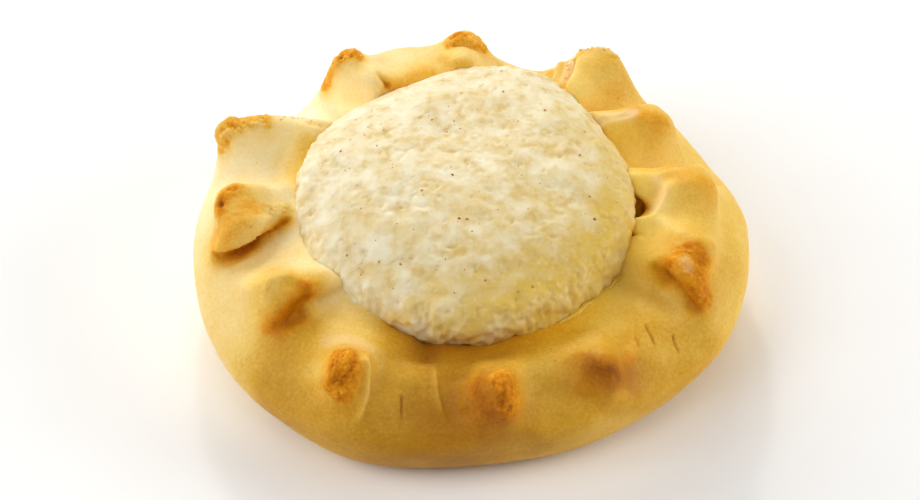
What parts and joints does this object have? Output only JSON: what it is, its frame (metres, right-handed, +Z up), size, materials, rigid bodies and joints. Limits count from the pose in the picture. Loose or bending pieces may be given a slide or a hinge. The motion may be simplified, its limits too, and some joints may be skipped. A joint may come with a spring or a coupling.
{
  "type": "mini cheese pie",
  "caption": "Small open pie: a mound of baked curd cheese in a round cushion of golden dough, folded up round it and pinched into browned pleats.",
  "frame": {"origin": "under the middle of the pie's bounding box, on the flat underside that it rests on", "axes": "+Z up out of the filling, +X to the right in the picture, -Y the near side in the picture"},
  "size_m": [0.071, 0.0652, 0.0235],
  "materials": {
    "baked_dough": "soft satin bread crust, golden, browned and matt on the tips of its pleats",
    "baked_curd": "moist, finely lumpy curd, cream coloured with a low soft sheen"
  },
  "bodies": {
    "root": {"crust": "baked_dough", "filling": "baked_curd"}
  },
  "joints": []
}
